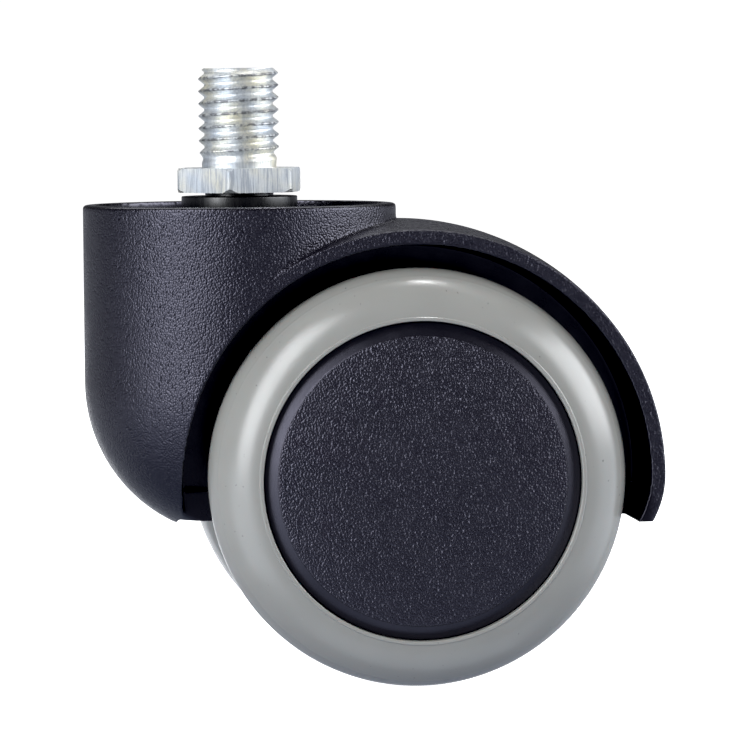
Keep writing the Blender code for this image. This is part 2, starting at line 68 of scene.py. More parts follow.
# Housing
CUP_RADIUS = -housing_low.x
RIM_Z = housing_high.z
RIM_FILLET = 0.35 * MM
CHIN_TIP_Z = housing_low.z
FOOT_Z = CHIN_TIP_Z + 0.6 * MM
CHIN_CENTRE_Z = RIM_Z - 21.6 * MM
CHIN_FLOOR_Z = FOOT_Z + 4.9 * MM
WALL = 1.75 * MM
ARCH_RADIUS = WHEEL_RADIUS + 2.8 * MM
HOOD_HALF = CUP_RADIUS - 0.04 * MM
HOOD_START_X = 0.6 * MM
HOOD_CROWN = 0.85 * MM
HOOD_SWEEP = 1.0 * MM
WEB_HALF = 7.2 * MM
BOSS_HALF = 7.8 * MM
BEAD_TOP_Z = FOOT_Z + 3.7 * MM
WEB_SKIN = 1.8 * MM
WEB_RIB_X = 34 * MM
WEB_CELL_X = 3 * MM  # where the web's hollow starts
KEEL_HALF = 0.8 * MM
AXLE_BOSS_RADIUS = 6 * MM
SOCKET_BOSS_RADIUS = 7 * MM
SOCKET_BOSS_TOP_Z = RIM_Z - 0.55 * MM
SOCKET_RADIUS = 5.4 * MM
SOCKET_FLOOR_Z = -32.5 * MM
RIB_HALF = 0.7 * MM
RIB_TOP_Z = RIM_Z - 3.6 * MM
RIB_COUNT = 6
HOLLOW_TOP_Z = 4 * MM  # of the tool that hollows the cup, above the rim
AXLE_BORE_GAP = 0.1 * MM
FAR_X = (-60 * MM, 90 * MM)  # ends of the cutting tools, well clear of the housing
FAR_Y = (-60 * MM, 60 * MM)
FAR_Z = (-90 * MM, 10 * MM)
TOOL_LOW_Z = -80 * MM
SOCKET_TOP_Z = 5 * MM
ROOF_HALF = 40 * MM
BORE_HALF = 30 * MM
HOUSING_VOXEL = 0.2 * MM
HOUSING_SMOOTHING = 4  # passes
HOUSING_FACES = 190000

# Stem
THREAD_PITCH = 1.5 * MM
THREAD_CREST = 4.88 * MM
THREAD_ROOT = 4.18 * MM
THREAD_NECK = 4.5 * MM
THREAD_NECK_TOP_Z = 0.3 * MM
THREAD_START_Z = 0.9 * MM  # where the helix is counted from
THREAD_TOP_Z = stem_high.z
THREAD_END = THREAD_ROOT + 0.05 * MM  # radius of the thread's top face
THREAD_RUN_OUT = 1.4 * THREAD_PITCH
LEAD_IN_SLOPE = 1.1
HEX_FLATS = 14 * MM
HEX_THICKNESS = 2.95 * MM
HEX_TURN = math.radians(-12.8)
HEX_EDGE = 0.3 * MM
HEX_CHAMFER = 0.5 * MM  # across, of the corners turned off above and below
HEX_CHAMFER_TOP = 0.45 * MM  # and along the stem
HEX_CHAMFER_BOTTOM = 0.6 * MM
PIN_RADIUS = 3.5 * MM
PIN_END_Z = stem_low.z
PIN_END_FILLET = 1.5 * MM
GROOVE_RADIUS = 2.7 * MM
GROOVE_TOP_Z = -26.4 * MM
GROOVE_BOTTOM_Z = -27.3 * MM
GROOVE_FILLET = 0.1 * MM
SNAP_RING_OPENING = math.radians(60)
BUSH_RADIUS = 5.3 * MM
BUSH_COLLAR = 7.05 * MM
BUSH_NECK = 4.16 * MM

# Wheel, outwards along the axle
AXLE_RADIUS = (axle_high.x - axle_low.x) / 2
AXLE_HALF = axle_high.y
TREAD_INNER_Y = tread_low.y
TREAD_CROWN_Y = 16.2 * MM
TREAD_ARC = 7.0 * MM  # radius of the tyre's section
TREAD_LIP = 18.95 * MM
TREAD_BORE = 19.3 * MM
TREAD_INNER_FILLET = 3.0 * MM
TREAD_INNER_DROP = 0.45 * MM  # of the tread at its inner side, below the crown
LIP_REACH = 0.6 * MM  # of the lip on the wheel's inner side
LIP_WIDTH = 0.5 * MM  # of the raised bead round the tyre's outer side
LIP_HEIGHT = 0.14 * MM
MOULD_LINE_ANGLE = 30  # of the faint joint line, in degrees from the crown
MOULD_LINE_HEIGHT = 0.03 * MM
HUB_RADIUS = 6.5 * MM
HUB_BORE = 4.3 * MM
HUB_INNER_Y = core_low.y
HUB_OUTER_Y = 19.4 * MM
DISC_INNER_Y = 14.2 * MM
DISC_OUTER_Y = 16.0 * MM
RIM_BORE = 17.2 * MM
RIM_INNER_Y = TREAD_INNER_Y + 0.8 * MM
RIM_OUTER_Y = 21.6 * MM
SPOKE_COUNT = 6
SPOKE_HALF = 0.7 * MM
CAP_RADIUS = 18.8 * MM
CAP_FACE_RADIUS = 17.15 * MM
CAP_FACE_Y = cap_high.y
CAP_EDGE_Y = 22.12 * MM
CAP_SAG = 0.8 * MM  # how far the cap's face falls away at its edge
CAP_STEP = 0.12 * MM  # from the face down to the bevel
CAP_BEVEL_FILLET = 0.6 * MM
CAP_WALL = 1.3 * MM
SKIRT_WALL = 1.0 * MM
BORE_GAP = 0.08 * MM  # round the axle and round the stem's pin
INNER_WASHER = 5.4 * MM  # outside radii
OUTER_WASHER = 6.2 * MM
CLIP_RADIUS = 6.0 * MM
CLIP_BEND = 4.5 * MM  # radius where the clip's cone ends
CLIP_SHEET = 0.5 * MM

# Camera, light and floor. Softboxes are (name, azimuth, elevation, width, height, radiance, colour),
# with angles in degrees as seen from the object. Azimuth 0 is in front, and 90 is at the right.
CAMERA_LENS = 234.4
CAMERA_SENSOR = 36
CAMERA_PLACE = (-0.04608, -0.59316, 0.01031)
CAMERA_YAW = -0.105  # radians
CAMERA_PITCH = -0.060
CAMERA_ROLL = 0.008
WHITE = (1, 1, 1)
COOL = (0.95, 0.975, 1.0)
COLD = (0.84, 0.91, 1.0)
SOFTBOXES = (
    ("softbox_left", -51, 26, 41, 70, 11.0, COOL),
    ("softbox_right", 77, 22, 65, 44, 9.2, COOL),
    ("softbox_back", 180, 50, 80, 36, 2.3, COOL),
    ("card_back", 180, -10, 40, 16, 1.2, WHITE),
    ("card_left", -58, -18, 60, 50, 2.4, COLD),
    ("card_right", 85, -12, 70, 50, 1.9, COLD),
    ("card_low", 15, -66, 90, 50, 1.1, COLD),
    ("strip_top", 150, 79, 80, 16, 1.2, WHITE),
)
LAMP = ("lamp_top", 136, 77, 8, 6, 30.0, WHITE)
LIGHT_DISTANCE = 0.9
FADE_START = 0.2  # from a softbox's middle, as a share of its width
FADE_END = 0.5
FLOOR_GLOW = 1.0
FLOOR_RINGS = (0, 0.3, 3.0)  # radii
BACKDROP_STRENGTH = 1.05
STUDIO_GLOW = (  # of the room from straight down (0) to straight up (1), as (share of height, colour)
    (0.0, (0.20, 0.23, 0.33)),
    (0.2, (0.18, 0.21, 0.29)),
    (0.33, (0.50, 0.53, 0.60)),
    (0.42, (0.54, 0.57, 0.64)),
    (0.5, (0.28, 0.29, 0.32)),
    (0.58, (0.06, 0.06, 0.066)),
    (0.7, (0.02, 0.02, 0.022)),
)
BLACK_POINT = 0.0045  # of the picture, so that deep gaps are fully black

SMOOTH = 160  # segments round the large turned pieces
CORE_SMOOTH = 120
ROUND = 72  # and round the small ones
SHARP_ANGLE = 35  # degrees between two faces from which their edge is sharp
SHARP_ANGLE_LOW = 30
SHARP_ANGLE_HIGH = 50


# Mesh tools


def arc_between(before, corner, after, radius):
    """Points of the fillet at a corner of a profile."""
    corner = Vector(corner)
    to_before = Vector(before) - corner
    to_after = Vector(after) - corner
    if radius <= 0 or to_before.length < 1e-9 or to_after.length < 1e-9:
        return [corner]
    angle = to_before.angle(to_after)
    if angle > math.pi - 0.02:
        return [corner]
    reach = radius / math.tan(angle / 2)
    limit = 0.49 * min(to_before.length, to_after.length)
    if reach > limit:
        reach, radius = limit, limit * math.tan(angle / 2)
    start = corner + to_before.normalized() * reach
    end = corner + to_after.normalized() * reach
    bisector = (to_before.normalized() + to_after.normalized()).normalized()
    centre = corner + bisector * (radius / math.sin(angle / 2))
    steps = max(2, math.ceil((math.pi - angle) / math.radians(15)))
    first, last = start - centre, end - centre
    turn = first.angle_signed(last)
    return [centre + Matrix.Rotation(-turn * i / steps, 2) @ first for i in range(steps + 1)]


def filleted(corners, closed):
    """(radius, height) points of a profile whose corners are (radius, height, fillet radius)."""
    points = []
    count = len(corners)
    for i, (radius, height, fillet) in enumerate(corners):
        if not closed and i in (0, count - 1):
            points.append(Vector((radius, height)))
            continue
        before = corners[i - 1][:2]
        after = corners[(i + 1) % count][:2]
        points += arc_between(before, (radius, height), after, fillet)
    return [(point.x, point.y) for point in points]


def add_face(bm, corners):
    corners = list(dict.fromkeys(corners))
    if len(corners) > 2:
        bm.faces.new(corners)


def turned(points, segments, along="Z", closed=False):
    """A bmesh turned about Z or Y from (radius, height) points."""
    bm = bmesh.new()
    rings = []
    for radius, height in points:
        ring = []
        for step in range(1 if radius < 1e-9 else segments):
            angle = 2 * math.pi * step / segments
            x, y = radius * math.cos(angle), radius * math.sin(angle)
            ring.append(bm.verts.new((x, y, height) if along == "Z" else (x, height, y)))
        rings.append(ring)
    pairs = list(zip(rings, rings[1:])) + ([(rings[-1], rings[0])] if closed else [])
    for ring, other in pairs:
        for step in range(segments):
            after = step + 1
            corners = [ring[step % len(ring)], ring[after % len(ring)]]
            add_face(bm, corners + [other[after % len(other)], other[step % len(other)]])
    return bm


def rod(radius, low, high):
    return [(0, low), (radius, low), (radius, high), (0, high)]


def box(low, high):
    bm = bmesh.new()
    bmesh.ops.create_cube(bm, size=1)
    low, high = Vector(low), Vector(high)
    for vert in bm.verts:
        vert.co = Vector([(vert.co[i] + 0.5) * (high[i] - low[i]) + low[i] for i in range(3)])
    return bm


def extruded(outline, low_y, high_y):
    """A bmesh from an (x, z) outline, extruded along Y."""
    bm = bmesh.new()
    face = bm.faces.new([bm.verts.new((x, low_y, z)) for x, z in outline])
    grown = bmesh.ops.extrude_face_region(bm, geom=[face])["geom"]
    verts = [item for item in grown if isinstance(item, bmesh.types.BMVert)]
    bmesh.ops.translate(bm, verts=verts, vec=(0, high_y - low_y, 0))
    return bm


def moved(bm, offset):
    bmesh.ops.translate(bm, verts=bm.verts, vec=offset)
    return bm


def rotated(bm, angle, axis="Z"):
    bmesh.ops.rotate(bm, verts=bm.verts, cent=(0, 0, 0), matrix=Matrix.Rotation(angle, 3, axis))
    return bm


def slab(x=FAR_X, y=FAR_Y, z=FAR_Z):
    """A box that reaches well past the housing along each axis that isn't given."""
    return box((x[0], y[0], z[0]), (x[1], y[1], z[1]))


def bridged(loops):
    """A closed bmesh through equal loops of points, with a face over each end."""
    bm = bmesh.new()
    rings = [[bm.verts.new(point) for point in loop] for loop in loops]
    for ring, other in zip(rings, rings[1:]):
        for i in range(len(ring)):
            j = (i + 1) % len(ring)
            bm.faces.new((ring[i], ring[j], other[j], other[i]))
    bm.faces.new(rings[0])
    bm.faces.new(rings[-1])
    return bm


def shade(mesh, angle=SHARP_ANGLE):
    mesh.shade_smooth()
    mesh.set_sharp_from_angle(angle=math.radians(angle))


def new_object(name, bm, sharp_angle=SHARP_ANGLE):
    bmesh.ops.remove_doubles(bm, verts=bm.verts, dist=1e-7)
    bmesh.ops.recalc_face_normals(bm, faces=bm.faces)
    mesh = bpy.data.meshes.new(name)
    bm.to_mesh(mesh)
    bm.free()
    obj = bpy.data.objects.new(name, mesh)
    bpy.context.scene.collection.objects.link(obj)
    shade(mesh, sharp_angle)
    return obj


def applied(obj):
    """Leaves the result of an object's modifiers in its mesh."""
    bpy.context.view_layer.update()
    evaluated = obj.evaluated_get(bpy.context.evaluated_depsgraph_get())
    mesh = bpy.data.meshes.new_from_object(evaluated)
    obj.modifiers.clear()
    obj.data = mesh
    return obj


def boolean(target, tool, operation):
    modifier = target.modifiers.new("boolean", "BOOLEAN")
    modifier.operation = operation
    modifier.solver = "EXACT"
    modifier.object = tool
    applied(target)
    bpy.data.objects.remove(tool, do_unlink=True)


def cut(target, bm):
    boolean(target, new_object("tool", bm), "DIFFERENCE")


def join(target, bm):
    boolean(target, new_object("tool", bm), "UNION")


def keep(target, bm):
    boolean(target, new_object("tool", bm), "INTERSECT")


def finish_piece(obj, material, body, slot, *nodes):
    """Gives a piece its material and its body, and hides the CAD nodes it stands for. Its slot is not
    used.
    """
    obj.data.materials.clear()
    obj.data.materials.append(material)
    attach(obj, body)
    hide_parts(*nodes)
    return obj


# Housing


def sweep_at(x, z):
    """How far a point of the hood's end turns in towards the wheels."""
    below = (AXLE.z - z) / (AXLE.z - FOOT_Z)
    return HOOD_SWEEP * below * below if x > AXLE.x and below > 0 else 0


def swept_arc(radius, start, end, steps):
    points = []
    for step in range(steps + 1):
        angle = start + (end - start) * step / steps
        x = AXLE.x + radius * math.cos(angle)
        z = AXLE.z + radius * math.sin(angle)
        points.append((x - sweep_at(x, z), z))
    return points


def foot_angle(radius):
    return math.asin((FOOT_Z - AXLE.z) / radius)


def hood_block():
    """The hood's solid, crowned across its width, from inside the cup to its end."""
    slices, steps = 16, 96
    loops = []
    for step in range(slices + 1):
        across = 2 * step / slices - 1
        radius = ARCH_RADIUS + WALL + HOOD_CROWN * (1 - across * across)
        start = math.acos((HOOD_START_X - AXLE.x) / radius)
        outline = swept_arc(radius, start, foot_angle(radius), steps) + [(HOOD_START_X, FOOT_Z)]
        loops.append([(x, HOOD_HALF * across, z) for x, z in outline])
    return bridged(loops)


def arch_space(near_y, far_y):
    """The space inside the wheel arch between two widths, open below the foot."""
    steps = 144
    end = foot_angle(ARCH_RADIUS)
    outline = swept_arc(ARCH_RADIUS, math.pi - end, end, steps)
    inset = 0.4 * MM
    floor_z = FOOT_Z - 4 * MM
    outline += [(outline[-1][0] - inset, floor_z), (outline[0][0] + inset, floor_z)]
    return extruded(outline, min(near_y, far_y), max(near_y, far_y))


def below(top_z):
    return slab(z=(FAR_Z[0], top_z))


def axle_boss(half_width):
    return moved(turned(rod(AXLE_BOSS_RADIUS, -half_width, half_width), ROUND, "Y"), AXLE)


def wheel_space(side):
    """The space for one wheel: beside the web, clear of its axle boss and of the bead at its foot."""
    space = new_object("space", arch_space(side * WEB_HALF, side * 2 * CUP_RADIUS))
    cut(space, slab(y=(-BOSS_HALF, BOSS_HALF), z=(FAR_Z[0], BEAD_TOP_Z)))
    cut(space, axle_boss(BOSS_HALF))
    return space


def web_cell(side):
    """The hollow between the keel and one skin of the web, open below, behind the stem's boss."""
    cell = new_object("cell", arch_space(side * KEEL_HALF, side * (WEB_HALF - WEB_SKIN)))
    cut(cell, slab(x=(FAR_X[0], WEB_CELL_X)))
    cut(cell, turned(rod(SOCKET_BOSS_RADIUS, TOOL_LOW_Z, FAR_Z[1]), ROUND))
    cut(cell, axle_boss(BOSS_HALF))
    cut(cell, slab(x=(WEB_RIB_X - RIB_HALF, WEB_RIB_X + RIB_HALF)))
    return cell


def cup_profile(radius, top_z, rim_fillet):
    """The cup's open profile, with the domed chin below."""
    rim_steps, chin_steps = 6, 36
    points = [(0, top_z)]
    points += arc_pairs((radius - rim_fillet, top_z - rim_fillet), rim_fillet, 90, 0, rim_steps)
    points += arc_pairs((0, CHIN_CENTRE_Z), radius, 0, -90, chin_steps)[:-1]
    return points + [(0, CHIN_CENTRE_Z - radius)]


def arc_pairs(centre, radius, start_deg, end_deg, steps):
    """Points of an arc in a profile, with angles from the direction of the radius."""
    points = []
    for step in range(steps + 1):
        angle = math.radians(start_deg + (end_deg - start_deg) * step / max(1, steps))
        points.append((centre[0] + radius * math.cos(angle), centre[1] + radius * math.sin(angle)))
    return points


def cup_hollow():
    """The space inside the cup: round the stem's boss, over the wheel arch and between the ribs."""
    profile = cup_profile(CUP_RADIUS - WALL, HOLLOW_TOP_Z, rim_fillet=0.1 * MM)
    hollow = new_object("hollow", turned(profile, SMOOTH))
    cut(hollow, below(CHIN_FLOOR_Z))
    roof = rod(ARCH_RADIUS + WALL, -ROOF_HALF, ROOF_HALF)
    cut(hollow, moved(turned(roof, SMOOTH, "Y"), AXLE))
    cut(hollow, turned(rod(SOCKET_BOSS_RADIUS, TOOL_LOW_Z, SOCKET_BOSS_TOP_Z), ROUND))
    for number in range(RIB_COUNT):
        rib = box((SOCKET_BOSS_RADIUS / 2, -RIB_HALF, TOOL_LOW_Z), (CUP_RADIUS, RIB_HALF, RIB_TOP_Z))
        cut(hollow, rotated(rib, 2 * math.pi * (number + 0.5) / RIB_COUNT))
    return hollow


def softened(obj, voxel, passes, faces):
    """Rounds every edge as a mould does: an even remesh, a few smoothing passes, then fewer faces."""
    remesh = obj.modifiers.new("remesh", "REMESH")
    remesh.mode = "VOXEL"
    remesh.voxel_size = voxel
    smooth = obj.modifiers.new("smooth", "SMOOTH")
    smooth.factor = 0.5
    smooth.iterations = passes
    applied(obj)
    triangles = 2 * len(obj.data.polygons)
    if triangles > faces:
        thin = obj.modifiers.new("thin", "DECIMATE")
        thin.ratio = faces / triangles
        applied(obj)
    obj.data.shade_smooth()


def build_housing(material, arch_shade_material):
    """The cup, hood and web in one moulding, with the second material, a darker copy of the first as
    painted shade, on the faces inside the arch.
    """
    profile = cup_profile(CUP_RADIUS, RIM_Z, RIM_FILLET)
    housing = new_object("housing_shell", turned(profile, SMOOTH))
    join(housing, hood_block())
    cut(housing, below(CHIN_TIP_Z))
    cut(housing, slab(x=(AXLE.x - ARCH_RADIUS, FAR_X[1]), z=(FAR_Z[0], FOOT_Z)))
    for side in (-1, 1):
        boolean(housing, wheel_space(side), "DIFFERENCE")
        boolean(housing, web_cell(side), "DIFFERENCE")
    boolean(housing, cup_hollow(), "DIFFERENCE")
    cut(housing, turned(rod(SOCKET_RADIUS, SOCKET_FLOOR_Z, SOCKET_TOP_Z), ROUND))
    bore = rod(AXLE_RADIUS + AXLE_BORE_GAP, -BORE_HALF, BORE_HALF)
    cut(housing, moved(turned(bore, ROUND, "Y"), AXLE))
    softened(housing, HOUSING_VOXEL, HOUSING_SMOOTHING, HOUSING_FACES)
    mark_grain(housing)
    finish_piece(housing, material, "housing", "housing_plastic", "housing")
    housing.data.materials.append(arch_shade_material)
    # Faces inside the arch take the darker copy of the plastic: painted shade.
    arch_skin = 0.1 * MM
    for face in housing.data.polygons:
        x, _, z = face.center
        face.material_index = int(math.hypot(x - AXLE.x, z - AXLE.z) < ARCH_RADIUS + arch_skin)


def mark_grain(housing):
    """Writes how deep the mould grain is: 1 on the cup and the hood's side faces, less on the hood's top,
    and 0 on the rim's edge, in the arch and inside."""
    cup_skin = 0.35 * MM
    side_skin = 0.3 * MM
    top_skin = 0.2 * MM
    arch_edge = 0.25 * MM
    arch_skin = 0.2 * MM
    top_share = 0.6
    fade_gap, fade_length = 0.1 * MM, 0.3 * MM
    mesh = housing.data
    grain = mesh.attributes.new("grain", "FLOAT", "POINT")
    for vert, value in zip(mesh.vertices, grain.data):
        x, y, z = vert.co
        from_stem = math.hypot(x, y)
        from_axle = math.hypot(x - AXLE.x, z - AXLE.z)
        from_chin = math.hypot(from_stem, z - CHIN_CENTRE_Z) if z < CHIN_CENTRE_Z else 0
        on_cup = max(from_stem, from_chin) > CUP_RADIUS - cup_skin
        on_side = x > 0 and from_axle > ARCH_RADIUS + arch_edge and abs(y) > HOOD_HALF - side_skin
        on_top = x > 0 and from_axle > ARCH_RADIUS + WALL - top_skin
        share = 0
        if from_axle >= ARCH_RADIUS + arch_skin:
            if on_cup or on_side:
                share = 1
            elif on_top:
                share = top_share
        rim_fade = (RIM_Z - fade_gap - z) / fade_length
        value.value = share * min(1, max(0, rim_fade))


# Stem


def thread_reach(phase):
    """How far out a thread's surface is, for a place in its pitch from 0 to 1."""
    crest, slope, shoulder = 0.2, 0.32, 0.84
    if phase < crest:
        share = 1 - (1 - shoulder) * (2 * phase / crest - 1) ** 2
    elif phase < crest + slope:
        share = shoulder * (1 - (phase - crest) / slope)
    elif phase < 1 - slope:
        share = 0
    else:
        share = shoulder * (phase - 1 + slope) / slope
    return THREAD_ROOT + (THREAD_CREST - THREAD_ROOT) * share


def thread_place(height, reach):
    """(radius, height) of a thread's point, after its run-out, its lead-in and its two ends."""
    if height <= THREAD_NECK_TOP_Z:
        return THREAD_NECK, THREAD_NECK_TOP_Z
    if height >= THREAD_TOP_Z:
        return THREAD_END, THREAD_TOP_Z
    cut_in = min(1, (height - THREAD_NECK_TOP_Z) / THREAD_RUN_OUT)
    reach = THREAD_NECK + (reach - THREAD_NECK) * cut_in
    return min(reach, THREAD_END + LEAD_IN_SLOPE * (THREAD_TOP_Z - height)), height


def threaded_rod(low):
    """The right-handed thread as one closed body, with a plain neck down to a height."""
    columns, rows = 96, 20
    turns = math.ceil((THREAD_TOP_Z - THREAD_START_Z) / THREAD_PITCH) + 2
    bm = bmesh.new()

    def ring_point(radius, height, column):
        angle = 2 * math.pi * column / columns
        return bm.verts.new((radius * math.cos(angle), radius * math.sin(angle), height))

    levels = []
    for level in range(turns * rows):
        ring = []
        for column in range(columns):
            share = level / rows - 1 + column / columns
            height = THREAD_START_Z + THREAD_PITCH * share
            radius, height = thread_place(height, thread_reach(level % rows / rows))
            ring.append(ring_point(radius, height, column))
        levels.append(ring)
    base = [ring_point(THREAD_NECK, low, column) for column in range(columns)]

    def after(level, column):
        if column + 1 < columns:
            return levels[level][column + 1]
        return levels[min(level + rows, len(levels) - 1)][0]

    for level in range(len(levels) - 1):
        for column in range(columns):
            corners = [levels[level][column], after(level, column)]
            add_face(bm, corners + [after(level + 1, column), levels[level + 1][column]])
    for column in range(columns):
        corners = [base[column], base[(column + 1) % columns]]
        add_face(bm, corners + [after(0, column), levels[0][column]])
    bm.faces.new(base)
    bm.faces.new(levels[-1])
    return bm


def build_stem(material):
    """A hexagon whose corners are turned off, with the thread joined above and the pin below."""
    corner = HEX_FLATS / math.sqrt(3)
    spare = 2 * MM  # of the prism, past both faces of the hexagon
    prism = turned(rod(corner, -HEX_THICKNESS - spare, spare), 6)
    stem = new_object("stem_bolt", rotated(prism, HEX_TURN - math.pi / 2))
    edge = stem.modifiers.new("edge", "BEVEL")
    edge.width = HEX_EDGE
    edge.segments = 3
    applied(stem)
    outside = corner + 0.05 * MM
    bevelled = [
        (0, -HEX_THICKNESS),
        (corner - HEX_CHAMFER, -HEX_THICKNESS),
        (outside, -HEX_THICKNESS + HEX_CHAMFER_BOTTOM),
        (outside, -HEX_CHAMFER_TOP),
        (corner - HEX_CHAMFER, 0),
        (0, 0),
    ]
    keep(stem, turned(bevelled, SMOOTH))
    middle_z = -HEX_THICKNESS / 2
    join(stem, threaded_rod(middle_z))
    pin = [
        (0, PIN_END_Z, 0),
        (PIN_RADIUS, PIN_END_Z, PIN_END_FILLET),
        (PIN_RADIUS, GROOVE_BOTTOM_Z, GROOVE_FILLET),
        (GROOVE_RADIUS, GROOVE_BOTTOM_Z, GROOVE_FILLET),
        (GROOVE_RADIUS, GROOVE_TOP_Z, GROOVE_FILLET),
        (PIN_RADIUS, GROOVE_TOP_Z, GROOVE_FILLET),
        (PIN_RADIUS, middle_z, 0),
        (0, middle_z, 0),
    ]
    join(stem, turned(filleted(pin, False), ROUND))
    shade(stem.data, SHARP_ANGLE_LOW)
    return finish_piece(stem, material, "stem", "zinc_plated_steel", "stem")


# Wheels


def outwards(points, side):
    return [(radius, side * height) for radius, height in points]


def tread_points():
    """The tyre's section: round outer side and crown, flatter inner side, and a lip on each side."""
    centre = (WHEEL_RADIUS - TREAD_ARC, TREAD_CROWN_Y)
    lip_angle = math.degrees(math.asin((TREAD_LIP + LIP_WIDTH - centre[0]) / TREAD_ARC))
    # Heights run along the axle, so an angle of 90 degrees here points along the axle, outwards.
    outer = arc_pairs(centre, TREAD_ARC, 0, MOULD_LINE_ANGLE - 1, 14)
    outer += arc_pairs(centre, TREAD_ARC + MOULD_LINE_HEIGHT, MOULD_LINE_ANGLE, MOULD_LINE_ANGLE, 0)
    outer += arc_pairs(centre, TREAD_ARC, MOULD_LINE_ANGLE + 1, 90 - lip_angle, 28)
    seat_y = TREAD_INNER_Y + LIP_REACH
    chamfer = 0.2 * MM
    points = [
        (TREAD_BORE, seat_y),
        (TREAD_LIP, seat_y),
        (TREAD_LIP, TREAD_INNER_Y + chamfer),
        (TREAD_LIP + chamfer, TREAD_INNER_Y),
    ]
    corner_radius = WHEEL_RADIUS - TREAD_INNER_DROP - TREAD_INNER_FILLET
    corner = (corner_radius, TREAD_INNER_Y + TREAD_INNER_FILLET)
    points += arc_pairs(corner, TREAD_INNER_FILLET, -90, -8, 14)
    points += [(WHEEL_RADIUS - 0.12 * MM, TREAD_CROWN_Y - 2.2 * MM)]
    points += outer[:-1]
    lip_y = outer[-1][1]
    top_y = lip_y + LIP_HEIGHT
    foot_y = lip_y - 1.0 * MM
    lip = [
        (*outer[-2], 0),
        (TREAD_LIP + LIP_WIDTH, lip_y, 0.08 * MM),
        (TREAD_LIP + LIP_WIDTH - 0.1 * MM, top_y, 0.06 * MM),
        (TREAD_LIP, top_y, 0.16 * MM),
        (TREAD_LIP, foot_y, 0),
    ]
    return points + filleted(lip, False)[1:] + [(TREAD_BORE, foot_y)]


def build_tread(label, side, material):
    bm = moved(turned(outwards(tread_points(), side), SMOOTH, "Y", closed=True), AXLE)
    tread = new_object(f"tyre_{label}", bm, SHARP_ANGLE_HIGH)
    return finish_piece(tread, material, f"wheel_{label}", "tread_polyurethane", f"tread_{label}")


def build_cap(label, side, material):
    """A slightly domed face, a bevel that covers the rim, and a skirt that fits inside it."""
    gap = 0.2 * MM  # to the rim
    skirt = RIM_BORE - gap
    skirt_inside = skirt - SKIRT_WALL
    back_y = RIM_OUTER_Y + gap
    face_edge_y = CAP_FACE_Y - CAP_SAG
    inside_y = face_edge_y - CAP_WALL
    steps = 24
    dome = []
    for step in range(steps):
        share = step / steps
        dome.append((CAP_FACE_RADIUS * share, CAP_FACE_Y - CAP_SAG * share**3, 0))
    corners = dome + [
        (CAP_FACE_RADIUS, face_edge_y, 0.2 * MM),
        (CAP_FACE_RADIUS + CAP_STEP, face_edge_y - CAP_STEP, 0.1 * MM),
        (CAP_RADIUS, CAP_EDGE_Y, CAP_BEVEL_FILLET),
        (CAP_RADIUS, back_y, 0.1 * MM),
        (skirt, back_y, 0.1 * MM),
        (skirt, cap_low.y, 0.2 * MM),
        (skirt_inside, cap_low.y, 0.2 * MM),
        (skirt_inside, inside_y, 0.4 * MM),
        (0, inside_y, 0),
    ]
    points = filleted(corners, False)
    bm = moved(turned(outwards(points, side), SMOOTH, "Y"), AXLE)
    cap = new_object(f"hub_cover_{label}", bm, SHARP_ANGLE_HIGH)
    mark_face(cap)
    return finish_piece(cap, material, f"wheel_{label}", "cap_plastic", f"hub_cap_{label}")


def mark_face(cap):
    """Writes 1 on the cap's grained face and 0 on its smooth bevel, skirt and inside."""
    face_reach = CAP_FACE_RADIUS + 0.02 * MM
    mesh = cap.data
    grain = mesh.attributes.new("grain", "FLOAT", "POINT")
    for vert, value in zip(mesh.vertices, grain.data):
        from_axle = math.hypot(vert.co.x - AXLE.x, vert.co.z - AXLE.z)
        on_face = from_axle < face_reach and abs(vert.co.y) > CAP_EDGE_Y
        value.value = 1.0 if on_face else 0.0


def build_core(label, side, material):
    """Hub, disc and rim turned in one, with spokes on the disc's inner side."""
    edge = 0.25 * MM
    fillet = 0.6 * MM
    rim = TREAD_BORE - 0.05 * MM
    corners = [
        (HUB_BORE, HUB_INNER_Y, edge),
        (HUB_RADIUS, HUB_INNER_Y, edge),
        (HUB_RADIUS, DISC_INNER_Y, fillet),
        (RIM_BORE, DISC_INNER_Y, fillet),
        (RIM_BORE, RIM_INNER_Y, edge),
        (rim, RIM_INNER_Y, edge),
        (rim, RIM_OUTER_Y, edge),
        (RIM_BORE, RIM_OUTER_Y, edge),
        (RIM_BORE, DISC_OUTER_Y, fillet),
        (HUB_RADIUS, DISC_OUTER_Y, fillet),
        (HUB_RADIUS, HUB_OUTER_Y, edge),
        (HUB_BORE, HUB_OUTER_Y, edge),
    ]
    points = outwards(filleted(corners, True), side)
    core = new_object(f"wheel_centre_{label}", turned(points, CORE_SMOOTH, "Y", closed=True))
    # Each spoke runs a little into the hub, the rim and the disc.
    start, end = HUB_RADIUS - 0.3 * MM, RIM_BORE + 0.5 * MM
    reach = sorted((side * (RIM_INNER_Y + 0.6 * MM), side * (DISC_INNER_Y + 0.5 * MM)))
    for number in range(SPOKE_COUNT):
        spoke = box((start, reach[0], -SPOKE_HALF), (end, reach[1], SPOKE_HALF))
        join(core, rotated(spoke, 2 * math.pi * (number + 0.5) / SPOKE_COUNT, "Y"))
    core.data.transform(Matrix.Translation(AXLE))
    shade(core.data, SHARP_ANGLE_LOW)
    return finish_piece(core, material, f"wheel_{label}", "wheel_plastic", f"wheel_core_{label}")


# Small turned pieces


def ring_piece(name, corners, material, body, slot, node, along="Y", place=AXLE):
    bm = moved(turned(filleted(corners, True), ROUND, along, closed=True), place)
    return finish_piece(new_object(name, bm), material, body, slot, node)


def plain_ring(inner, outer, low, high, fillet):
    return [(inner, low, fillet), (outer, low, fillet), (outer, high, fillet), (inner, high, fillet)]


def mirrored(corners, side):
    return [(radius, side * height, fillet) for radius, height, fillet in corners]


def ends(low, high):
    """How far a piece's two ends are from the middle of the axle, the nearer one first."""
    return sorted((abs(low.y), abs(high.y)))


